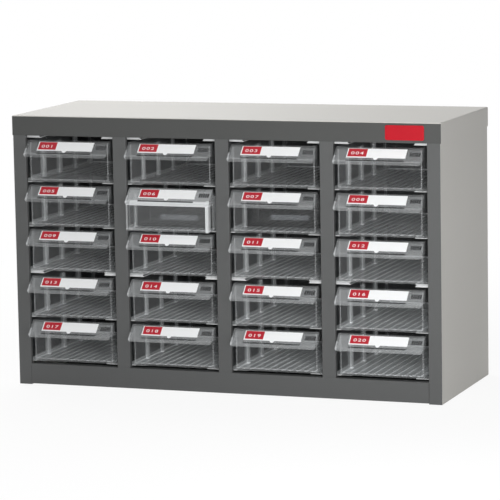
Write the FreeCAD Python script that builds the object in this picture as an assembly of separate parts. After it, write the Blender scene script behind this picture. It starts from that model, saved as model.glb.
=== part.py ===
import FreeCAD, Part
import math
import os

# Steel parts cabinet with clear drawers that slide in columns on folded guides.
# +X is to the right, -Y is the front and +Z is up. The origin is the middle of the footprint.

Vector = FreeCAD.Vector

# Drawer, the piece that sets the size of the cabinet
drawer_width = 115.5
drawer_height = 55.0
drawer_length = 216.5
drawer_wall = 2.0
drawer_floor = 2.0
drawer_corner_radius = 3.0
drawer_inner_radius = 1.0
drawer_edge_radius = 1.2

# Slanting lip along the top of a drawer's front
lip_reach = 19.5
lip_drop = 19.0
lip_thick = 2.0
lip_corner_radius = 3.0

# Label card in its pocket on the lip
card_width = 78.0
card_height = 14.5
card_thick = 0.5
card_start = 16.5
card_below_edge = 2.6
card_tab_radius = 3.0
card_play = 0.2
pocket_depth = 0.6
card_stop_width = 2.0
card_stop_length = 11.0
card_stop_proud = 0.7

# Divider slots on the drawer's side walls, and the plate that fits them
slots = 3
first_slot = 42.5
full_front_first_slot = 31.0
slot_pitch = 53.0
slot_rib_thick = 1.2
slot_rib_proud = 3.0
slot_rib_top_gap = 6.0
divider_thick = 1.5
divider_play = 0.25
divider_top_gap = 8.0
band_start = 37.0
band_width = 53.0
band_height = 7.0
band_base = 12.0
band_proud = 0.8

# Low ribs along the drawer's floor
floor_rib_pitch = 10.5
floor_rib_width = 3.0
floor_rib_height = 0.8

# Lugs on the drawer's sides that catch the stiles when it is drawn out
drawer_travel = 150.0
lug_catch = 0.3
lug_end_gap = 0.3
lug_height = 8.0
lug_top_gap = 6.0
lug_flat = 2.0
lug_ramp = 8.0

# Columns and rows
columns = 4
rows_upper = 3
rows_lower = 2
side_gap = 4.0
lift = 0.3
head_gap = 2.7
module_gap = 2.1
base_gap = 2.6
top_gap = 2.3
pane_setback = 1.5
stop_gap = 1.0

# Sheet steel case
sheet = 1.0
stile_width = 18.4
stile_return = 5.0
top_rail_height = 26.0
bottom_rail_height = 26.5
rail_return = 12.0
foot_gap = 1.5
cap_drop = 25.5
cap_bend_radius = 1.6
stile_bend_radius = 0.9
case_flange = 12.0
bottom_flange = 10.0

# Folded guides
guide_sheet = 1.0
ledge_turn_up = 1.8
ledge_reach = 19.0
ledge_setback = 7.0
ledge_back_gap = 2.0
ledge_corner_radius = 1.5

# Rivets that hold the back panel
rivet_head_radius = 3.0
rivet_head_height = 1.0
rivet_shank_radius = 1.6
rivet_play = 0.1
rivet_tail_radius = 2.4
rivet_tail = 1.0
rivets_per_side = 4
rivets_along_top = 5

# Badge plate on the top rail
badge_width = 51.0
badge_height = 19.0
badge_thick = 1.2
badge_corner_radius = 2.5
badge_edge_radius = 0.4
badge_inset = 3.2

# Places of the full-front drawers, by column and row from the top left
full_front_places = [(2, 2)]
# Which slot of a drawer holds a divider, by the drawer's column and row
divider_slots = {(2, 2): 1, (3, 2): 1}

# How near a corner has to be to count as picked, as a share of the sheet
pick_share = 0.01
# How far a cutter runs past what it cuts
overrun = 5.0

# Sizes that follow
opening_width = drawer_width + 2 * side_gap
case_width = columns * opening_width + (columns + 1) * stile_width
row_pitch = guide_sheet + lift + drawer_height + head_gap
lower_guide_height = rows_lower * row_pitch + guide_sheet
upper_guide_height = rows_upper * row_pitch + guide_sheet
opening_base = foot_gap + bottom_rail_height
lower_guide_base = opening_base + base_gap
upper_guide_base = lower_guide_base + lower_guide_height + module_gap
opening_top = upper_guide_base + upper_guide_height + top_gap
case_height = opening_top + top_rail_height
case_depth = pane_setback + drawer_length + stop_gap + 2 * sheet
proud = lip_reach - pane_setback
overall_depth = case_depth + rivet_head_height + proud
front_y = proud - overall_depth / 2
rear_y = front_y + case_depth
back_panel_front_y = rear_y - 2 * sheet
side_outer_x = case_width / 2 - sheet
lip_length = math.hypot(lip_reach, lip_drop)
lip_angle = math.degrees(math.atan2(lip_drop, lip_reach))
lip_slope = lip_drop / lip_reach


def block(x, y, z):
    """Box between three pairs of low and high values."""
    size = [high - low for low, high in (x, y, z)]
    return Part.makeBox(*size, Vector(x[0], y[0], z[0]))


def fused(solids):
    """One clean solid out of solids that meet."""
    return solids[0].multiFuse(solids[1:]).removeSplitter()


def rounded(shape, radius, picks):
    """Round the edges whose middle lies at a picked place. None leaves that coordinate free."""
    def picked(edge):
        middle = edge.CenterOfMass
        return any(
            all(want is None or abs(have - want) < pick_share * sheet for have, want in zip(middle, pick))
            for pick in picks)
    return shape.makeFillet(radius, [edge for edge in shape.Edges if picked(edge)])


def prism_along_x(outline, x):
    """Solid of an outline of (y, z) points between two values of x."""
    points = [Vector(x[0], y, z) for y, z in outline]
    wire = Part.makePolygon(points + points[:1])
    return Part.Face(wire).extrude(Vector(x[1] - x[0], 0, 0))


def mirrored(shape):
    """The same shape on the other side of the cabinet's middle plane."""
    return shape.mirror(Vector(0, 0, 0), Vector(1, 0, 0))


def moved(shape, x, y, z):
    """A copy of a shape, carried by the given distances."""
    copy = shape.copy()
    copy.translate(Vector(x, y, z))
    return copy


def save(name, solids):
    """Write one sub-part, a single solid or a group of separate ones."""
    shape = solids[0] if len(solids) == 1 else Part.makeCompound(solids)
    shape.exportStep(f"parts/{name}.step")


def opening_left(column):
    """Left edge of a column's opening."""
    return -case_width / 2 + stile_width + (column - 1) * (opening_width + stile_width)


def drawer_base(row):
    """Height of the underside of the drawers in a row, counted from the top."""
    rows_below = rows_upper + rows_lower - row
    module_step = module_gap + guide_sheet if row <= rows_upper else 0
    return lower_guide_base + guide_sheet + lift + rows_below * row_pitch + module_step


# Case

def top_panel():
    """Cap with flanges folded down over the sides and the back."""
    half = case_width / 2
    top = case_height
    plate = block((-half, half), (front_y, rear_y), (top - sheet, top))
    flange_z = (top - cap_drop, top)
    left = block((-half, -half + sheet), (front_y + sheet, rear_y), flange_z)
    right = mirrored(left)
    rear = block((-half, half), (rear_y - sheet, rear_y), flange_z)
    cap = fused([plate, left, right, rear])
    return rounded(cap, cap_bend_radius, [(-half, None, top), (half, None, top), (0, rear_y, top)])


def left_side_panel():
    """Side sheet with flanges folded in at the back and at the bottom."""
    outer = -side_outer_x
    y = (front_y + sheet, rear_y)
    wall = block((outer, outer + sheet), y, (0, case_height - sheet))
    flange_x = (outer, outer + case_flange)
    foot = block(flange_x, y, (0, sheet))
    rear = block(flange_x, (rear_y - sheet, rear_y), (0, case_height - cap_drop))
    side = fused([wall, foot, rear])
    trimmed = side.cut(block((outer - overrun, outer + case_flange + overrun), (rear_y - sheet, rear_y),
                             (case_height - cap_drop, case_height)))
    return rounded(trimmed, stile_bend_radius, [(outer, rear_y, None)])


def back_panel():
    """Flat sheet against the rear flanges, standing on the foot flanges."""
    inner = side_outer_x - sheet
    return block((-inner, inner), (back_panel_front_y, back_panel_front_y + sheet),
                 (sheet, case_height - sheet))


def bottom_panel():
    """Sheet on the foot flanges, turned up at the front and at the back."""
    inner = side_outer_x - sheet
    y = (front_y + sheet, back_panel_front_y)
    z = (sheet, 2 * sheet)
    turned_z = (sheet, sheet + bottom_flange)
    reach = case_width / 2 - stile_width
    plate = block((-inner, inner), (y[0] + stile_return, y[1]), z)
    nose = block((-reach, reach), (y[0], y[0] + stile_return), z)
    front = block((-reach, reach), (y[0], y[0] + sheet), turned_z)
    rear = block((-inner, inner), (y[1] - sheet, y[1]), turned_z)
    return fused([plate, nose, front, rear])


def top_rail():
    """Full-width channel under the front edge of the cap."""
    half = case_width / 2
    inner = side_outer_x - sheet
    z = (opening_top, case_height - sheet)
    face = block((-half, half), (front_y, front_y + sheet), z)
    return_y = (front_y, front_y + sheet + rail_return)
    lower = block((-inner, inner), return_y, (z[0], z[0] + sheet))
    upper = block((-inner, inner), return_y, (z[1] - sheet, z[1]))
    return fused([face, lower, upper])


def bottom_rail():
    """Angle between the outer stiles, clear of the ground."""
    reach = case_width / 2 - stile_width
    face = block((-reach, reach), (front_y, front_y + sheet), (foot_gap, opening_base))
    ledge = block((-reach, reach), (front_y, front_y + sheet + rail_return), (opening_base - sheet, opening_base))
    return fused([face, ledge])


def left_stile():
    """Outer upright, from the ground to the top rail, with a return beside the opening."""
    edge = opening_left(1)
    face = block((-side_outer_x, edge), (front_y, front_y + sheet), (0, opening_top))
    side = block((edge - sheet, edge), (front_y, front_y + sheet + stile_return), (0, opening_top))
    return rounded(fused([face, side]), stile_bend_radius, [(edge, front_y, None)])


def middle_stile(column):
    """Upright channel between a column and the next one."""
    left = opening_left(column) + opening_width
    right = left + stile_width
    z = (opening_base, opening_top)
    return_y = (front_y, front_y + sheet + stile_return)
    face = block((left, right), (front_y, front_y + sheet), z)
    near = block((left, left + sheet), return_y, z)
    far = block((right - sheet, right), return_y, z)
    channel = fused([face, near, far])
    return rounded(channel, stile_bend_radius, [(left, front_y, None), (right, front_y, None)])


def guide(base, rows, side_x, inward):
    """Folded guide: an upright web with a ledge under each drawer and one over the top one.

    side_x is the opening's edge and inward is 1 or -1, the way to the opening's middle.
    The uppermost ledge is turned up at its front.
    """
    def across(start, end):
        return sorted((side_x + inward * start, side_x + inward * end))
    height = rows * row_pitch + guide_sheet
    outer = -sheet - guide_sheet
    web = block(across(outer, -sheet), (front_y + sheet, back_panel_front_y), (base, base + height))
    ledge_y = (front_y + ledge_setback, back_panel_front_y - ledge_back_gap)
    ledges = []
    for level in range(rows + 1):
        z = base + level * row_pitch
        ledge = block(across(outer, ledge_reach), ledge_y, (z, z + guide_sheet))
        tip = side_x + inward * ledge_reach
        ledges.append(rounded(ledge, ledge_corner_radius, [(tip, ledge_y[0], None), (tip, ledge_y[1], None)]))
    turned_reach = ledge_reach - ledge_corner_radius
    turned_z = (base + height - guide_sheet, base + height + ledge_turn_up)
    turned = block(across(outer, turned_reach), (ledge_y[0], ledge_y[0] + guide_sheet), turned_z)
    return fused([web, turned] + ledges)


def column_guides(column):
    """The four guides of a column."""
    left = opening_left(column)
    return [guide(base, rows, edge, inward)
            for base, rows in ((lower_guide_base, rows_lower), (upper_guide_base, rows_upper))
            for edge, inward in ((left, 1), (left + opening_width, -1))]


def rivet(x, z):
    """Blind rivet through a rear flange and the back panel, its domed head outside."""
    sphere_radius = (rivet_head_radius ** 2 + rivet_head_height ** 2) / (2 * rivet_head_height)
    centre = Vector(x, rear_y + rivet_head_height - sphere_radius, z)
    ball = Part.makeSphere(sphere_radius, centre)
    disc = Part.makeCylinder(rivet_head_radius, rivet_head_height, Vector(x, rear_y, z), Vector(0, 1, 0))
    tail = Part.makeCylinder(rivet_tail_radius, rivet_tail, Vector(x, back_panel_front_y, z), Vector(0, -1, 0))
    shank = Part.makeCylinder(rivet_shank_radius, 2 * sheet, Vector(x, back_panel_front_y, z), Vector(0, 1, 0))
    return fused([disc.common(ball), shank, tail])


def rivet_places():
    """Middles of the rivets: down each side flange and along the cap's rear flange."""
    side_x = side_outer_x - case_flange / 2
    low = case_flange + bottom_flange
    high = case_height - cap_drop - case_flange
    step = (high - low) / (rivets_per_side - 1)
    sides = [(sign * side_x, low + step * i) for i in range(rivets_per_side) for sign in (-1, 1)]
    top_z = case_height - cap_drop / 2
    top_step = case_width / (rivets_along_top + 1)
    top = [(top_step * (i - (rivets_along_top - 1) / 2), top_z) for i in range(rivets_along_top)]
    return sides + top


def with_rivet_holes(panel):
    """Cut the rivets' shank holes through a panel."""
    reach = case_depth / 2
    radius = rivet_shank_radius + rivet_play
    holes = [Part.makeCylinder(radius, reach, Vector(x, rear_y - reach / 2, z), Vector(0, 1, 0))
             for x, z in rivet_places()]
    return panel.cut(holes)


def badge_plate():
    """Bare raised badge at the right of the top rail."""
    right = opening_left(columns) + opening_width - badge_inset
    middle = (opening_top + case_height) / 2
    x = (right - badge_width, right)
    y = (front_y - badge_thick, front_y)
    z = (middle - badge_height / 2, middle + badge_height / 2)
    plate = block(x, y, z)
    corners = [(corner_x, None, corner_z) for corner_x in x for corner_z in z]
    plate = rounded(plate, badge_corner_radius, corners)
    face_edges = [edge for edge in plate.Edges if edge.BoundBox.YMax < y[0] + pick_share * sheet]
    return plate.makeFillet(badge_edge_radius, face_edges)


# Drawers, modelled with the front pane's outer face at y = 0 and the left underside corner at the origin

def on_lip(shape):
    """Tilt a shape drawn flat, forward of y = 0 and under z = 0, on to the lip's outer face."""
    tilted = shape.copy()
    tilted.rotate(Vector(0, 0, 0), Vector(1, 0, 0), lip_angle)
    tilted.translate(Vector(0, 0, drawer_height))
    return tilted


def card_outline(play, thick, top):
    """Flat card with a half-round tab under its middle, or its pocket when there is play."""
    x = (card_start - play, card_start + card_width + play)
    y = (-card_below_edge - card_height - play, -card_below_edge + play)
    card = block(x, y, (top - thick, top))
    tab = Part.makeCylinder(card_tab_radius + play, thick, Vector((x[0] + x[1]) / 2, y[0] + play, top - thick))
    return fused([card, tab])


def lip():
    """Slanting lip with the stop at the right end of its card pocket."""
    flat = block((0, drawer_width), (-lip_length, 0), (-lip_thick, 0))
    flat = rounded(flat, lip_corner_radius, [(0, -lip_length, None), (drawer_width, -lip_length, None)])
    stop_x = card_start + card_width + card_play
    stop_y = -card_below_edge - (card_height - card_stop_length) / 2
    stop = block((stop_x, stop_x + card_stop_width), (stop_y - card_stop_length, stop_y),
                 (-lip_thick / 2, card_stop_proud))
    stop = rounded(stop, card_stop_width / 2 * (1 - pick_share),
                   [(stop_x + card_stop_width, stop_y, None),
                    (stop_x + card_stop_width, stop_y - card_stop_length, None)])
    return on_lip(fused([flat, stop]))


def card_pocket():
    """What is cut out of the lip for the card."""
    return on_lip(card_outline(card_play, pocket_depth + overrun, overrun))


def label_card():
    """Card seated on the pocket's floor."""
    return on_lip(card_outline(0, card_thick, card_thick - pocket_depth))


def shell(front):
    """Open box of a drawer. front is how far its lower part stands forward of the pane's usual place."""
    slope_drop = front * lip_slope
    outline = [(-front, 0), (-front, drawer_height - slope_drop), (0, drawer_height),
               (drawer_length, drawer_height), (drawer_length, 0)]
    if front == 0:
        outline.remove((0, drawer_height))
    outer = prism_along_x(outline, (0, drawer_width))
    uprights = [(x, y, None) for x in (0, drawer_width) for y in (-front, drawer_length)]
    outer = rounded(outer, drawer_corner_radius, uprights)
    base_edges = [edge for edge in outer.Edges if edge.BoundBox.ZMax < pick_share * sheet]
    outer = outer.makeFillet(drawer_edge_radius, base_edges)

    inner_x = (drawer_wall, drawer_width - drawer_wall)
    inner_front = drawer_wall - front
    inner_back = drawer_length - drawer_wall
    under_lip = lip_thick * lip_length / lip_reach
    rim_y = under_lip / lip_slope
    if front == 0:
        hollow_outline = [(inner_front, drawer_floor), (inner_front, drawer_height + overrun)]
    else:
        ceiling = drawer_height - under_lip + inner_front * lip_slope
        hollow_outline = [(inner_front, drawer_floor), (inner_front, ceiling), (rim_y, drawer_height),
                          (rim_y, drawer_height + overrun)]
    hollow_outline += [(inner_back, drawer_height + overrun), (inner_back, drawer_floor)]
    hollow = prism_along_x(hollow_outline, inner_x)
    hollow = rounded(hollow, drawer_inner_radius, [(x, y, None) for x in inner_x for y in (inner_front, inner_back)])
    hollow_base = [edge for edge in hollow.Edges if edge.BoundBox.ZMax < drawer_floor + pick_share * sheet]
    return outer.cut(hollow.makeFillet(drawer_inner_radius, hollow_base))


def slot_middles(front):
    """Distances of the divider slots from the pane's usual place."""
    first = first_slot if front == 0 else full_front_first_slot - front
    return [first + slot_pitch * i for i in range(slots)]


def divider_ribs(front):
    """Pairs of upright ribs on both side walls."""
    half_slot = divider_thick / 2 + divider_play
    z = (drawer_floor / 2, drawer_height - slot_rib_top_gap)
    ribs = []
    for middle in slot_middles(front):
        for near in (middle - half_slot - slot_rib_thick, middle + half_slot):
            y = (near, near + slot_rib_thick)
            inner = drawer_wall / 2
            outer = drawer_wall + slot_rib_proud
            ribs.append(block((inner, outer), y, z))
            ribs.append(block((drawer_width - outer, drawer_width - inner), y, z))
    return ribs


def floor_ribs(front):
    """Low ribs that run from the front to the back of the floor, between the slot ribs."""
    clear_width = drawer_width - 2 * (drawer_wall + slot_rib_proud)
    count = int(clear_width // floor_rib_pitch)
    first = (drawer_width - (count - 1) * floor_rib_pitch) / 2
    y = (drawer_wall - front + drawer_inner_radius, drawer_length - drawer_wall - drawer_inner_radius)
    z = (drawer_floor / 2, drawer_floor + floor_rib_height)
    middles = [first + floor_rib_pitch * i for i in range(count)]
    return [block((x - floor_rib_width / 2, x + floor_rib_width / 2), y, z) for x in middles]


def gusset():
    """Triangular end of the lip, at the left."""
    reach = lip_reach - lip_corner_radius
    low = drawer_height - reach * lip_slope
    outline = [(drawer_corner_radius, drawer_height), (0, drawer_height), (-reach, low),
               (drawer_corner_radius, low)]
    return prism_along_x(outline, (0, drawer_wall))


def stop_lug():
    """Wedge on the left side that meets the stile's return at the end of the travel."""
    reach = side_gap + lug_catch
    start = sheet + stile_return - pane_setback + lug_end_gap + drawer_travel
    z = drawer_height - lug_top_gap - lug_height
    points = [(drawer_wall / 2, start), (-reach, start), (-reach, start + lug_flat),
              (0, start + lug_flat + lug_ramp), (drawer_wall / 2, start + lug_flat + lug_ramp)]
    corners = [Vector(x, y, z) for x, y in points]
    return Part.Face(Part.makePolygon(corners + corners[:1])).extrude(Vector(0, 0, lug_height))


def across_drawer(shape):
    """The same shape at the other side of a drawer."""
    return shape.mirror(Vector(drawer_width / 2, 0, 0), Vector(1, 0, 0))


def drawer(front):
    """Whole drawer moulding."""
    pieces = [shell(front), lip(), stop_lug(), across_drawer(stop_lug())]
    if front == 0:
        pieces += [gusset(), across_drawer(gusset())]
    return fused(pieces + divider_ribs(front) + floor_ribs(front)).cut(card_pocket())


def divider(front, slot):
    """Plate in one of the drawer's slots, counted from the front, with a raised band near its foot."""
    middle = slot_middles(front)[slot - 1]
    x = (drawer_wall + divider_play, drawer_width - drawer_wall - divider_play)
    y = (middle - divider_thick / 2, middle + divider_thick / 2)
    plate = block(x, y, (drawer_floor + floor_rib_height, drawer_height - divider_top_gap))
    band_x = (band_start, band_start + band_width)
    band = block(band_x, (y[0] - band_proud, y[0]), (band_base, band_base + band_height))
    return fused([plate, band])


os.makedirs("parts", exist_ok=True)

save("top_panel", [with_rivet_holes(top_panel())])
save("left_side_panel", [with_rivet_holes(left_side_panel())])
save("right_side_panel", [with_rivet_holes(mirrored(left_side_panel()))])
save("back_panel", [with_rivet_holes(back_panel())])
save("bottom_panel", [bottom_panel()])
save("top_rail", [top_rail()])
save("bottom_rail", [bottom_rail()])
save("left_stile", [left_stile()])
save("right_stile", [mirrored(left_stile())])
save("badge_plate", [badge_plate()])
save("back_rivets", [rivet(x, z) for x, z in rivet_places()])
for column in range(1, columns):
    save(f"middle_stile_{column}", [middle_stile(column)])

# A full front ends one wall behind the lip's edge
forward_by_style = {False: 0, True: lip_reach - drawer_wall}
drawer_by_style = {style: drawer(forward) for style, forward in forward_by_style.items()}

for column in range(1, columns + 1):
    save(f"guides_column_{column}", column_guides(column))
    for row in range(1, rows_upper + rows_lower + 1):
        place = (opening_left(column) + side_gap, front_y + pane_setback, drawer_base(row))
        style = (column, row) in full_front_places
        mark = f"c{column}_r{row}"
        save(f"drawer_{mark}", [moved(drawer_by_style[style], *place)])
        save(f"label_card_{mark}", [moved(label_card(), *place)])
        if (column, row) in divider_slots:
            plate = divider(forward_by_style[style], divider_slots[column, row])
            save(f"divider_{mark}", [moved(plate, *place)])

print("case", case_width, case_depth, case_height, "overall depth", overall_depth, "front", front_y)
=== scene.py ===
import math

import bpy
from mathutils import Matrix, Vector


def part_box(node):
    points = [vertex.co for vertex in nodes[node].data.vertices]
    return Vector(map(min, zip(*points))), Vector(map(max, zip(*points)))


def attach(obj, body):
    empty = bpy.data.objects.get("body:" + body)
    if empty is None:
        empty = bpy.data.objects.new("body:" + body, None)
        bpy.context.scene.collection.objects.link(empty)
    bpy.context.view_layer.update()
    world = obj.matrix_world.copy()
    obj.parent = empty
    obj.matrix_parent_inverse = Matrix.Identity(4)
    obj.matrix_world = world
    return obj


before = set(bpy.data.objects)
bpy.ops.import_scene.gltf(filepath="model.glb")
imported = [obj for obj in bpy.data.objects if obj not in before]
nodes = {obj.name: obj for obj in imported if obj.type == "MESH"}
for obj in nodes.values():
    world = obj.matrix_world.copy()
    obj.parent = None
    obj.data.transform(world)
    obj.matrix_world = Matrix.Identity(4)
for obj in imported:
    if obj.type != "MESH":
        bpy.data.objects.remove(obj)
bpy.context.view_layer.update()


# Cap and sides of the case.
# Mild steel sheet, cut, folded and powder coated in a light warm grey with a fine even texture.
# The cap is turned down over the sides and the back, and each side has a foot turned in under it.
class Signal:
    """What flows out of one socket, with the arithmetic of a number."""

    def __init__(self, network, socket):
        self.network = network
        self.socket = socket

    def math(self, operation, *values):
        return self.network.node("Math", {"operation": operation}, dict(enumerate(values)))

    def __add__(self, other):
        return self.math("ADD", self, other)

    def __radd__(self, other):
        return self.math("ADD", other, self)

    def __sub__(self, other):
        return self.math("SUBTRACT", self, other)

    def __rsub__(self, other):
        return self.math("SUBTRACT", other, self)

    def __mul__(self, other):
        return self.math("MULTIPLY", self, other)

    def __rmul__(self, other):
        return self.math("MULTIPLY", other, self)

    def __mod__(self, other):
        return self.math("FLOORED_MODULO", self, other)

    def __rmod__(self, other):
        return self.math("FLOORED_MODULO", other, self)

    def __pow__(self, other):
        return self.math("POWER", self, other)

    def __rpow__(self, other):
        return self.math("POWER", other, self)

    def rise(self, start, end):
        """0 before start, 1 after end and a soft step between them."""
        return self.network.node("MapRange", {"interpolation_type": "SMOOTHSTEP"},
                                 {"Value": self, "From Min": start, "From Max": end})

    def within(self, start, end, soft):
        """1 from start to end, and a soft step of the given width outside each of them."""
        return self.rise(start - soft, start) * (1 - self.rise(end, end + soft))


class Network:
    """A tree of shader nodes that is built from expressions on signals."""

    def __init__(self, tree):
        self.tree = tree

    def node(self, kind, settings=None, inputs=None, output=0):
        """Any node: its type, its settings, then the values or links of its sockets."""
        made = self.tree.nodes.new("ShaderNode" + kind)
        for name, value in (settings or {}).items():
            setattr(made, name, value)
        for key, value in (inputs or {}).items():
            if isinstance(value, Signal):
                self.tree.links.new(value.socket, made.inputs[key])
            else:
                made.inputs[key].default_value = value
        return Signal(self, made.outputs[output])

    def join(self, signal, target, socket):
        self.tree.links.new(signal.socket, self.tree.nodes[target].inputs[socket])

    def place(self, axes="XYZ"):
        """The named coordinates of a point in the cabinet's frame, in metres."""
        spot = self.node("TexCoord", output="Object")
        return [self.node("SeparateXYZ", inputs={"Vector": spot}, output=axis) for axis in axes]

    def noise(self, per_metre, detail=2.0, stretch=(1, 1, 1)):
        spot = self.node("TexCoord", output="Object")
        spot = self.node("Mapping", inputs={"Vector": spot, "Scale": stretch})
        return self.node("TexNoise", inputs={"Vector": spot, "Scale": per_metre, "Detail": detail})

    def blend(self, share, first, second):
        """Colour that goes from the first to the second as the share goes from 0 to 1."""
        return self.node("Mix", {"data_type": "RGBA"}, {0: share, 6: first, 7: second}, output=2)

    def bump(self, height, depth, strength=1.0):
        return self.node("Bump", inputs={"Height": height, "Distance": depth, "Strength": strength})


class Finish(Network):
    """A material whose Principled shader is fed by expressions on signals."""

    def __init__(self, name, **constants):
        self.material = bpy.data.materials.new(name)
        self.material.use_nodes = True
        super().__init__(self.material.node_tree)
        self.shader = self.tree.nodes["Principled BSDF"]
        self.plain = Signal(self, self.shader.outputs[0])
        for words, value in constants.items():
            socket = words.replace("_", " ").title().replace("Ior", "IOR")
            self.shader.inputs[socket].default_value = value

    def feed(self, socket, signal):
        self.join(signal, "Principled BSDF", socket)

    def surface(self, signal):
        self.join(signal, "Material Output", "Surface")


def tint(red, green, blue):
    """A screen colour of 0 to 255 as the linear colour that a socket takes."""
    def linear(channel):
        share = channel / 255
        return share / 12.92 if share <= 0.04045 else ((share + 0.055) / 1.055) ** 2.4
    return (linear(red), linear(green), linear(blue), 1)


def scaled(colour, share):
    """The colour made darker by a share under 1, or lighter by one over 1."""
    return tuple(channel * share for channel in colour[:3]) + (1,)


def powder_coat(name, colour, roughness, sheen):
    """Baked powder paint: a slow drift in tone, a fine orange peel and a finer grit."""
    finish = Finish(name, coat_weight=0.05, coat_roughness=0.25, specular_ior_level=sheen)
    drift_per_metre, peel_per_metre, grit_per_metre = 7, 380, 1500
    dark_share, light_share = 0.93, 1.07
    peel_depth, peel_strength = 0.00012, 0.5
    drift = finish.noise(drift_per_metre, 3)
    peel = finish.noise(peel_per_metre, 2)
    grit = finish.noise(grit_per_metre, 1)
    tone = drift * 0.5 + grit * 0.3 + 0.1
    finish.feed("Base Color", finish.blend(tone, scaled(colour, dark_share), scaled(colour, light_share)))
    finish.feed("Roughness", roughness + (drift - 0.5) * 0.12 + (grit - 0.5) * 0.1)
    finish.feed("Normal", finish.bump(peel * 0.7 + grit * 0.3, peel_depth, peel_strength))
    return finish.material


def dress(names, material):
    """Put a finish on carried-over nodes."""
    for name in names:
        piece = nodes[name]
        piece.data.materials.clear()
        piece.data.materials.append(material)


cut_edge, weld_gap = 0.0002, 0.000001


def folded(names):
    """Ease the sheet's cut edges, so that they catch the light as a painted edge does."""
    for name in names:
        weld = nodes[name].modifiers.new("weld", "WELD")
        weld.merge_threshold = weld_gap
        ease = nodes[name].modifiers.new("ease", "BEVEL")
        ease.width = cut_edge
        ease.segments = 2
        ease.limit_method = "ANGLE"
        ease.angle_limit = math.radians(40)


case_nodes = ["top_panel", "left_side_panel", "right_side_panel"]
dress(case_nodes, powder_coat("light_grey_powder_coat", tint(188, 186, 181), 0.5, 0.4))
folded(case_nodes)


# Back and bottom panels, which close the case.
# The same sheet, coloured almost black as painted shade for the dark inside of the case, so that the
# drawers stand against it.
inner_nodes = ["back_panel", "bottom_panel"]
dress(inner_nodes, powder_coat("inner_painted_shade_black_coat", tint(38, 39, 40), 0.5, 0.25))
folded(inner_nodes)


# Front frame: top rail, bottom rail, two outer stiles and three middle stiles.
# Folded from the same sheet and powder coated in a dark grey, then welded into one ladder
# whose joints are ground flush. The rail, which carries the badge, has a darker coat that is painted shade,
# for the lesser light that falls on it.
middle_stiles = ["middle_stile_1", "middle_stile_2", "middle_stile_3"]
frame_nodes = ["bottom_rail", "left_stile", *middle_stiles, "right_stile"]
dress(frame_nodes, powder_coat("dark_grey_powder_coat", tint(86, 87, 87), 0.45, 0.25))
# the rail's darker coat is painted shade
dress(["top_rail"], powder_coat("top_rail_painted_shade_coat", tint(73, 74, 73), 0.45, 0.25))
folded(frame_nodes + ["top_rail"])


# Badge plate at the right of the top rail.
# A red moulded plate with a domed clear face, bare, stuck to the rail.
def enamel_red():
    """Red that drifts a little in tone under a clear face with a faint speckle."""
    finish = Finish("badge_red_enamel", coat_weight=0.12, coat_roughness=0.1, specular_ior_level=0.2)
    speck_per_metre, drift_per_metre = 900, 40
    dark_share, light_share = 0.92, 1.08
    speck = finish.noise(speck_per_metre, 2)
    drift = finish.noise(drift_per_metre, 2)
    red = tint(178, 4, 28)
    finish.feed("Base Color", finish.blend(drift, scaled(red, dark_share), scaled(red, light_share)))
    finish.feed("Roughness", 0.35 + (speck - 0.5) * 0.1)
    finish.feed("Normal", finish.bump(drift, 0.0002, 0.4))
    return finish.material


dress(["badge_plate"], enamel_red())


# Drawer guides, four to a column.
# Sheet folded into an upright web with a ledge under every drawer. The web is coloured dark down to
# its foot as painted shade, and the ledges are zinc, bright at a guide's two ends and dulled between,
# partly by the drawers' rubbing and partly as painted shade.
lower_base_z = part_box("drawer_c1_r5")[0].z
upper_base_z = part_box("drawer_c1_r3")[0].z
row_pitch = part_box("drawer_c1_r1")[0].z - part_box("drawer_c1_r2")[0].z
row_slack = 0.0015
bare_foot = 0.0035
behind_stile = 0.0009
opening_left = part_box("middle_stile_1")[1].x
opening_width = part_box("middle_stile_2")[0].x - opening_left
stile_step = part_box("middle_stile_2")[0].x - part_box("middle_stile_1")[0].x


def above_row(z):
    """Height above the underside of the drawer of the same row."""
    upper = z.rise(upper_base_z - 0.002, upper_base_z - row_slack)
    return (z + row_slack - lower_base_z - upper * (upper_base_z - lower_base_z)) % row_pitch - row_slack


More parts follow.
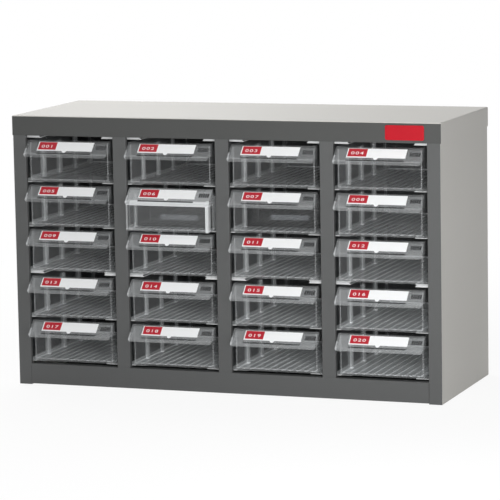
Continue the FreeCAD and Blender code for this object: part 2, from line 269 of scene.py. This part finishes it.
def web_painted_shade_bright_ledges():
    """Dark colour on the web as painted shade, and zinc on the ledges with spangle and rub marks, dulled
    between the ends by rub and by painted shade.
    """
    finish = Finish("guide_web_painted_shade_and_zinc")
    rub_shade_start, rub_shade_fade = 0.0062, 0.0006
    right_rub_shade_start, right_rub_shade_end = 0.06, 0.07
    left_rub_shade_share, right_rub_shade_share = 0.85, 0.25
    gap_low, gap_high, gap_fade = upper_base_z - 0.010, upper_base_z + 0.0005, 0.0003
    top_end_z, top_end_fade = upper_base_z + row_pitch * 2.5, row_pitch * 0.1
    light_zinc, dark_zinc, rubbed_and_shaded_zinc = tint(216, 218, 218), tint(186, 188, 189), tint(70, 72, 73)
    # the web's near black is painted shade for the dark inside of the case
    web_painted_shade = tint(28, 29, 30)
    x, z = finish.place("XZ")
    along = (x - opening_left + behind_stile) % stile_step
    ledge = along.within(0.0, opening_width + behind_stile * 2, 0.0001)
    top_end = z.rise(top_end_z, top_end_z + top_end_fade)
    middle_ends = z.within(gap_low, gap_high, gap_fade)
    # the ledges between the ends are dulled partly by rubbing and partly by painted shade
    left_rub_and_shade = along.within(rub_shade_start, opening_width / 2, rub_shade_fade) * left_rub_shade_share
    right_rub_and_shade = along.rise(right_rub_shade_start, right_rub_shade_end) * right_rub_shade_share
    rubbed_and_shaded = (left_rub_and_shade + right_rub_and_shade) * (1 - (top_end + middle_ends).rise(0, 1))
    bare = (ledge + 1 - above_row(z).rise(bare_foot, bare_foot + 0.0004)).rise(0, 1)
    spot = finish.node("TexCoord", output="Object")
    spangle = finish.node("TexVoronoi", inputs={"Vector": spot, "Scale": 160.0})
    rub = finish.noise(90, 3, stretch=(6, 0.3, 1))
    metal = finish.blend(spangle * 0.5 + rub * 0.4, light_zinc, dark_zinc)
    metal = finish.blend(rubbed_and_shaded, metal, rubbed_and_shaded_zinc)
    finish.feed("Base Color", finish.blend(bare, web_painted_shade, metal))
    finish.feed("Roughness", 0.42 + (rub - 0.5) * 0.2)
    finish.feed("Metallic", bare * (0.1 + spangle * 0.15))
    finish.feed("Normal", finish.bump(rub, 0.00008, 0.5))
    return finish.material


guide_nodes = [f"guides_column_{column}" for column in range(1, 5)]
dress(guide_nodes, web_painted_shade_bright_ledges())


# Drawers, twenty, and the two divider plates.
# Each is one injection moulding in clear general purpose plastic, polished outside, a little hazy
# where it is thick, ribbed or rubbed, with faint flow marks and fine scratches from use. Much of the haze
# is painted light: highlights on edges, rims and the bands beside the slots, a sheen at grazing angles, and
# more haze towards the back and towards the low drawers at the right, where more light falls.
card_low, card_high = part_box("label_card_c1_r1")
card_start = 0.0165
card_foot = card_low.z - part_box("drawer_c1_r1")[0].z
column_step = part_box("label_card_c2_r1")[0].x - card_low.x
first_side_x = card_low.x - card_start
pane_setback = 0.0015
pane_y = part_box("top_rail")[0].y + pane_setback
drawer_width, drawer_height, drawer_wall = 0.1155, 0.055, 0.002
lip_reach, lip_drop = 0.0195, 0.019
lip_foot = drawer_height - lip_drop
slot_pitch, first_slot, full_front_first_slot = 0.053, 0.0425, 0.0135
slot_half, slot_rib_proud = 0.0024, 0.003
floor_rib_pitch, floor_rib_width, floor_rib_start = 0.0105, 0.003, 0.001
skin_start, skin_end = drawer_wall + 0.0003, drawer_wall + 0.0005
fine_step, soft_step = 0.0002, 0.0003
divider_smoke = 0.45


class DrawerSpot:
    """A point in the place of its own drawer: from its left side, its underside and its front."""

    def __init__(self, finish, forward):
        x, y, z = finish.place()
        self.across = (x - first_side_x) % column_step
        self.above = above_row(z)
        self.back = y - pane_y
        self.front = -forward
        face_half = 0.0004
        self.face = self.back.within(self.front - face_half, self.front + face_half, fine_step)
        self.left_skin = 1 - self.across.rise(skin_start, skin_end)
        self.lip = 1 - self.back.rise(-0.0006, -0.0004)
        self.lip = self.lip * self.above.rise(lip_foot - 0.003, lip_foot - 0.001)

        # painted light: the haze grows towards the low drawers at the right, where more light falls in
        painted_light_top, low_gain, right_gain = 0.33, 1.8, 0.5
        self.right = x - first_side_x
        self.low = (painted_light_top - z) * low_gain
        self.painted_light_lower_right = self.right * right_gain + self.low


def divider_slots(spot, slots_from):
    """Haze at the slots, and a painted highlight on the walls beside them: bands of light, dimmer towards
    the back.
    """
    rib_end, lead, lead_fade = drawer_wall + slot_rib_proud + 0.0006, 0.0125, 0.001
    band_top, band_gone = 0.043, 0.047
    band_before, band_behind, band_fade = 0.006, 0.008, 0.001
    dim_from, dim_to, dim_share = 0.1, 0.17, 0.3
    slot_haze, rib_light_haze = 0.14, 0.33
    by_wall = spot.across.within(0.0, rib_end, fine_step)
    by_wall = by_wall + spot.across.within(drawer_width - rib_end, drawer_width, fine_step)
    by_wall = by_wall * spot.back.rise(slots_from - lead, slots_from - lead + lead_fade)
    by_wall = by_wall * (1 - spot.above.rise(band_top, band_gone))
    slot = (spot.back - slots_from + slot_pitch / 2) % slot_pitch - slot_pitch / 2
    skin = spot.left_skin + spot.across.rise(drawer_width - skin_end, drawer_width - skin_start)
    # painted highlight: bands of light on the walls beside the slots, dimmer towards the back
    rib_light_band = by_wall * skin * slot.within(-band_before, band_behind, band_fade)
    rib_light_band = rib_light_band * (1 - spot.back.rise(dim_from, dim_to) * dim_share)
    return by_wall * slot.within(-slot_half, slot_half, fine_step) * slot_haze + rib_light_band * rib_light_haze


def rubbed_foot(spot):
    """Haze along the foot of the left wall, which the guide rubs."""
    foot_low, foot_full, foot_high, front_gap, fade = 0.0022, 0.0030, 0.0070, 0.002, 0.001
    foot_haze = 0.2
    foot = spot.above.rise(foot_low, foot_full) * (1 - spot.above.rise(foot_high, foot_high + fade))
    return spot.left_skin * foot * spot.back.rise(front_gap, front_gap + fade) * foot_haze


def pane_border_highlight(spot):
    """The front's inner corner, seen through the front as a fine line, and its outer edges, all painted
    highlights where the rounded corners catch light.
    """
    line_width, left_line, right_line = 0.001, 0.002, drawer_width - 0.0042
    low_line, low_line_width, low_line_share = 0.0032, 0.0009, 0.6
    edge_width, low_edge = 0.0012, 0.0028
    line_highlight, edge_highlight_haze = 0.24, 0.1
    line = (spot.across.within(left_line, left_line + line_width, soft_step)
            + spot.above.within(low_line, low_line + low_line_width, soft_step) * low_line_share
            + spot.across.within(right_line, right_line + line_width, soft_step)).rise(0, 1)
    line = line * spot.across.within(left_line, right_line + line_width, soft_step)
    line = line * spot.above.rise(low_line - soft_step, low_line)
    left_edge = 1 - spot.across.rise(0.0, edge_width)
    right_edge = spot.across.rise(drawer_width - edge_width, drawer_width)
    bottom_edge = 1 - spot.above.rise(low_edge, low_line)
    return spot.face * (line * line_highlight + (left_edge + right_edge + bottom_edge) * edge_highlight_haze)


def ribbed_floor(spot):
    """Haze on the floor's upper side, striped by its ribs; it grows towards the back and towards the low
    drawers at the right, which is painted light.
    """
    floor_low, floor_high = 0.0012, 0.003
    plain_haze, low_haze, right_haze = 0.2, 0.76, 1.75
    front_share, depth_gain = 0.75, 3
    mean_stripe, stripe_gain, lower_right_light_gain = 0.35, 0.1, 0.15
    front = spot.front + drawer_wall
    stripe_end = floor_rib_start + floor_rib_width
    stripe = (spot.across % floor_rib_pitch).within(floor_rib_start, stripe_end, 0.0004)
    floor = spot.above.within(floor_low, floor_high, soft_step) * spot.back.rise(front, front + 0.001)
    # painted light: more haze towards the low drawers at the right and towards the back
    floor = floor * (plain_haze + spot.low * (low_haze + spot.right * right_haze))
    floor = floor * (front_share + spot.back * depth_gain)
    return floor * (1 + (stripe - mean_stripe) * (stripe_gain + spot.painted_light_lower_right * lower_right_light_gain))


def lip_and_rims(spot):
    """Haze of the lip, growing towards the low drawers at the right as painted light, with two painted
    highlight lines along its lower edge, and a painted highlight on the left cheek that carries it.
    """
    lower_rim, rim_width = lip_foot - 0.003, 0.0014
    upper_rim, upper_rim_width, upper_rim_share = lip_foot + 0.0022, 0.001, 0.7
    cheek_width, cheek_height, cheek_full, cheek_end = 0.0017, 0.012, -0.009, -0.006
    lip_haze, lower_right_light_haze, rim_highlight_haze, rim_fade, cheek_highlight = 0.06, 0.13, 0.18, 0.25, 0.25
    rim_highlight_lines = (spot.above.within(lower_rim, lower_rim + rim_width, soft_step)
            + spot.above.within(upper_rim, upper_rim + upper_rim_width, soft_step) * upper_rim_share)
    cheek = 1 - spot.across.rise(cheek_width, cheek_width + soft_step)
    cheek = cheek * (1 - spot.back.rise(cheek_full, cheek_end))
    cheek = cheek * spot.above.within(lower_rim, lower_rim + cheek_height, 0.001)
    lip = spot.lip * (lip_haze + spot.painted_light_lower_right * lower_right_light_haze + rim_highlight_lines * (rim_highlight_haze - spot.low * rim_fade))
    return lip + cheek * cheek_highlight


def shade_under_card(spot):
    """The narrow dark line that the card's lower edge throws on the lip."""
    line_start, line_end, line_low, line_high = 0.0175, 0.0935, card_foot - 0.0016, card_foot - 0.0004
    line = spot.above.within(line_low, line_high, soft_step)
    return spot.lip * line * spot.across.within(line_start, line_end, 0.001)


def grip_marks(spot):
    """A short row of dark marks at the lip's right end."""
    marks_start, marks_end, marks_low, marks_high = 0.0992, 0.1133, 0.0452, 0.0496
    mark_pitch, mark_width = 0.0029, 0.0019
    field = spot.across.within(marks_start, marks_end, soft_step)
    field = field * spot.above.within(marks_low, marks_high, 0.0004)
    marks = ((spot.across - marks_start) % mark_pitch).within(0.0, mark_width, soft_step)
    return spot.lip * field * marks


def full_front(spot):
    """Haze of the thick border of the front that stands forward, and of the seam on its side, painted
    highlights where these walls catch light.
    """
    sill_low, sill_high = lip_foot - 0.002, lip_foot + 0.0042
    border_depth, side_depth, depth_fade = 0.003, 0.0075, 0.0005
    seam_front, seam_back = -0.0035, -0.0005
    end_start, end_past, side_start, side_full = 0.0042, 0.001, 0.0006, 0.0004
    left_share, left_from, left_to = 0.4, 0.006, 0.008
    border_highlight, seam_highlight, lip_haze, face_haze = 0.5, 0.3, 0.18, 0.04
    sill = spot.above.within(sill_low, sill_high, soft_step)
    sill = sill * (left_share + spot.across.rise(left_from, left_to) * (1 - left_share))
    right_end = spot.across.within(drawer_width - end_start, drawer_width + end_past, soft_step)
    ahead = 1 - spot.back.rise(spot.front + border_depth, spot.front + border_depth + depth_fade)
    side = spot.across.rise(drawer_width - side_start, drawer_width - side_full)
    side = side * spot.above.rise(0.001, 0.002) * (1 - spot.above.rise(lip_foot, lip_foot + 0.001))
    near = 1 - spot.back.rise(spot.front + side_depth, spot.front + side_depth + depth_fade)
    border = (ahead * (sill + right_end).rise(0, 1) + side * near).rise(0, 1)
    seam = side * spot.back.within(seam_front, seam_back, soft_step)
    return border * border_highlight + seam * seam_highlight + spot.lip * lip_haze + spot.face * face_haze


def clear_plastic(name, forward=0.0, slots_from=first_slot, smoke=0.0):
    """Clear moulding whose haze is laid out in each drawer's own place."""
    plain_haze, flow_haze, grazing_sheen_haze = 0.012, 0.012, 0.12
    shade_haze, grip_haze, low_fade = 0.3, 0.45, 0.6
    bluish_clear, bright_clear, mark_and_shadow_grey = tint(226, 230, 232), tint(240, 243, 244), tint(44, 46, 48)
    smoky_grey, band_grey = tint(11, 12, 14), tint(120, 124, 128)
    finish = Finish(name, coat_weight=0.2, coat_roughness=0.03, specular_ior_level=0.4)
    spot = DrawerSpot(finish, forward)
    flow = finish.noise(22, 2, stretch=(1, 0.4, 1))
    scratch = finish.noise(700, 2, stretch=(1, 0.05, 1))
    # painted sheen: the haze grows where the surface is seen at a grazing angle
    grazing_sheen = finish.node("LayerWeight", inputs={"Blend": 0.12}, output="Facing")
    shade = shade_under_card(spot)
    grip = grip_marks(spot)
    haze = plain_haze + flow * flow_haze + grazing_sheen * grazing_sheen_haze + smoke
    haze = haze + divider_slots(spot, slots_from) + rubbed_foot(spot) + pane_border_highlight(spot)
    haze = haze + ribbed_floor(spot) + lip_and_rims(spot)
    haze = haze + shade * (shade_haze - spot.low * low_fade) + grip * (grip_haze - spot.low * low_fade)
    if forward:
        haze = haze + full_front(spot)

    clear = finish.blend(flow, bluish_clear, bright_clear)
    if smoke:
        band_start, band_end, band_low, band_high = 0.0372, 0.0898, 0.0122, 0.0188
        raised_band = spot.above.within(band_low, band_high, soft_step)
        raised_band = raised_band * spot.across.within(band_start, band_end, soft_step)
        clear = finish.blend(raised_band, smoky_grey, band_grey)

    finish.feed("Alpha", haze)
    # the grip marks and the painted shadow under the card share one dark grey
    finish.feed("Base Color", finish.blend((grip + shade).rise(0, 1), clear, mark_and_shadow_grey))
    finish.feed("Roughness", 0.06 + scratch * 0.06)
    finish.feed("Normal", finish.bump(flow + scratch * 0.05, 0.0001, 0.15))
    return finish.material


drawer_nodes = sorted(name for name in nodes if name.startswith("drawer_"))
divider_nodes = sorted(name for name in nodes if name.startswith("divider_"))
dress(drawer_nodes, clear_plastic("clear_moulded_plastic"))
dress(divider_nodes, clear_plastic("smoky_divider_plastic", smoke=divider_smoke))
full_front_plastic = clear_plastic("clear_moulded_plastic_full_front", forward=lip_reach - drawer_wall,
                                   slots_from=full_front_first_slot)
dress(["drawer_c2_r2"], full_front_plastic)


# Label cards, one in the pocket of each lip.
# White card with a printed red field at its left end, a thin white border left round the red,
# and a rounded tab under its middle to push it out by.
red_start, red_end, red_foot = 0.0012, 0.0262, 0.00306
red_head_share = 0.94
print_edge = 0.00025


def printed_card():
    """Print laid out from the card's left edge, the same on every column."""
    finish = Finish("printed_card", coat_weight=0.1, coat_roughness=0.3)
    x, y = finish.place("XY")
    along = (x - card_low.x) % column_step
    up = y - card_low.y
    fibre = finish.noise(1200, 2)
    red_head = (card_high.y - card_low.y) * red_head_share
    inside = along.rise(red_start, red_start + print_edge) * (1 - along.rise(red_end, red_end + print_edge))
    inside = inside * up.rise(red_foot, red_foot + print_edge)
    inside = inside * (1 - up.rise(red_head, red_head + print_edge))
    paper = finish.blend(fibre, tint(253, 254, 254), tint(247, 249, 250))
    print_red = finish.blend(fibre, tint(190, 16, 40), tint(174, 12, 34))
    finish.feed("Base Color", finish.blend(inside, paper, print_red))
    finish.feed("Roughness", 0.5 + (fibre - 0.5) * 0.2)
    finish.feed("Normal", finish.bump(fibre, 0.00003, 0.4))
    return finish.material


card_nodes = sorted(name for name in nodes if name.startswith("label_card_"))
dress(card_nodes, printed_card())


# Drawer numbers, printed in white on the red field of each card.
# A thin layer of matt screen ink.
number_height, number_gauge = 0.0046, 0.00002
size_per_height = 1.4
type_width_share = 1.5
letter_spacing = 1.25
stroke_gain = 0.00008
above_card = 0.0003
middle_of_field_share = 0.56


def screen_ink():
    """White with a faint grain, tinged by the red under it."""
    finish = Finish("white_screen_ink")
    grain = finish.noise(2500, 2)
    finish.feed("Base Color", finish.blend(grain, tint(247, 236, 236), tint(238, 224, 225)))
    finish.feed("Roughness", 0.55 + (grain - 0.5) * 0.2)
    return finish.material


ink = screen_ink()
slope = math.atan2(lip_drop, lip_reach)

# counted row by row from the top left: a name ends in its column and row, as in c1_r1
row_by_row = sorted(card_nodes, key=lambda word: (word[-1], word[-4]))
for count, name in enumerate(row_by_row, start=1):
    low_corner, high_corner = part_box(name)
    letters = bpy.data.curves.new(f"number_{count:02d}", "FONT")
    letters.body = f"{count:03d}"
    letters.size = number_height * size_per_height
    letters.space_character = letter_spacing
    letters.extrude = number_gauge
    letters.offset = stroke_gain
    letters.align_x = "CENTER"
    letters.align_y = "CENTER"
    letters.materials.append(ink)
    printed = bpy.data.objects.new(f"number_{count:02d}", letters)
    bpy.context.scene.collection.objects.link(printed)
    lean = Matrix.Rotation(slope, 4, "X")
    mid_field = low_corner.lerp(high_corner, middle_of_field_share)
    mid_field.x = low_corner.x + (red_start + red_end) / 2
    lifted = mid_field + lean.to_3x3() @ Vector((0, 0, above_card))
    printed.matrix_world = Matrix.Translation(lifted) @ lean @ Matrix.Diagonal((type_width_share, 1, 1, 1))
    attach(printed, name.replace("label_card", "drawer") + "_body")


# Rivets of the back panel.
# Plain aluminium blind rivets, with the faint turning marks of their domed heads.
def bare_aluminium():
    """Bare metal, brushed finely round."""
    finish = Finish("bare_aluminium", metallic=1.0)
    brushed = finish.noise(1800, 2, stretch=(1, 1, 0.2))
    finish.feed("Base Color", finish.blend(brushed, tint(205, 206, 208), tint(225, 226, 228)))
    finish.feed("Roughness", 0.3 + brushed * 0.15)
    return finish.material


dress(["back_rivets"], bare_aluminium())


# Floor, room and lamps of the picture.
# A white floor that fades into a white room. One soft lamp stands low at the right front, one far
# in front looks down on the drawers, one is high in front, one above and behind, one at the left rear.
floor_size = 8.0


def seen_directly(network):
    """1 for the rays from the camera, a mirror or glass, which see the plain white backdrop."""
    rays = ("Is Camera Ray", "Is Glossy Ray", "Is Transmission Ray")
    camera_ray, glossy_ray, through_ray = [network.node("LightPath", output=ray) for ray in rays]
    return (camera_ray + glossy_ray + through_ray).rise(0, 1)


bpy.ops.mesh.primitive_plane_add(size=floor_size)
floor = bpy.context.object
floor.name = "floor"
paper = Finish("floor_paper", roughness=0.9)
grain = paper.noise(300, 2)
paper.feed("Base Color", paper.blend(grain, (0.88, 0.88, 0.88, 1), (0.84, 0.84, 0.84, 1)))
floor_x, floor_y = paper.place("XY")
away = (floor_x * floor_x + floor_y * floor_y) ** 0.5
glow = paper.node("Emission", inputs={"Color": (1, 1, 1, 1), "Strength": 1.0})
white_share, white_from, white_to = 0.9, 0.35, 1.2
share = seen_directly(paper) * (white_share + away.rise(white_from, white_to) * (1 - white_share))
paper.surface(paper.node("MixShader", inputs={0: share, 1: paper.plain, 2: glow}))
floor.data.materials.append(paper.material)

world = bpy.data.worlds.new("white_room")
bpy.context.scene.world = world
world.use_nodes = True
room = Network(world.node_tree)
room_light = 0.28
room.tree.nodes["Background"].inputs["Color"].default_value = (1, 1, 1, 1)
room.join(room_light + seen_directly(room) * (1 - room_light), "Background", "Strength")


def lamp(name, place, aim, size, watts):
    data = bpy.data.lights.new(name, "AREA")
    data.shape = "SQUARE"
    data.size = size
    data.energy = watts
    lit = bpy.data.objects.new(name, data)
    bpy.context.scene.collection.objects.link(lit)
    lit.location = place
    lit.rotation_euler = (Vector(aim) - Vector(place)).to_track_quat("-Z", "Y").to_euler()


lamp("right_front_lamp", (0.6, -0.85, 0.25), (0, -0.1, 0.2), 0.4, 3.8)
lamp("low_front_lamp", (0.25, -1.5, 0.5), (0, -0.1, 0.15), 0.5, 4)
lamp("rear_top_lamp", (-0.6, 0.7, 1.3), (0, 0, 0.3), 0.9, 11.7)
lamp("high_front_lamp", (0.25, -1.0, 1.2), (0, 0, 0.2), 0.6, 3.4)
lamp("left_rear_lamp", (-1.5, 0.6, 0.7), (0, 0, 0.2), 0.8, 4)


# Camera at the photograph's place: a long lens from the right and a little above.
# Angles are in degrees and distances in metres, fitted to the corners of the case.
lens_mm = 213.3
yaw, pitch, roll = 20.08, 8.05, -0.99
distance = 3.805
aim_x, aim_z = 0.037, 0.190
front_face_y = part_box("top_rail")[0].y
sight = Vector((-math.sin(math.radians(yaw)) * math.cos(math.radians(pitch)),
                math.cos(math.radians(yaw)) * math.cos(math.radians(pitch)),
                -math.sin(math.radians(pitch))))
across = Vector((math.cos(math.radians(yaw)), math.sin(math.radians(yaw)), 0))
above = across.cross(sight)
turn = math.radians(roll)
tilted_across = across * math.cos(turn) + above * math.sin(turn)
tilted_above = above * math.cos(turn) - across * math.sin(turn)
eye = Vector((aim_x, front_face_y, aim_z)) - sight * distance
axes = Matrix((tilted_across, tilted_above, -sight)).transposed()
camera_data = bpy.data.cameras.new("camera")
camera_data.lens = lens_mm
camera = bpy.data.objects.new("camera", camera_data)
bpy.context.scene.collection.objects.link(camera)
camera.matrix_world = Matrix.Translation(eye) @ axes.to_4x4()
bpy.context.scene.camera = camera
bpy.context.scene.view_settings.view_transform = "Standard"
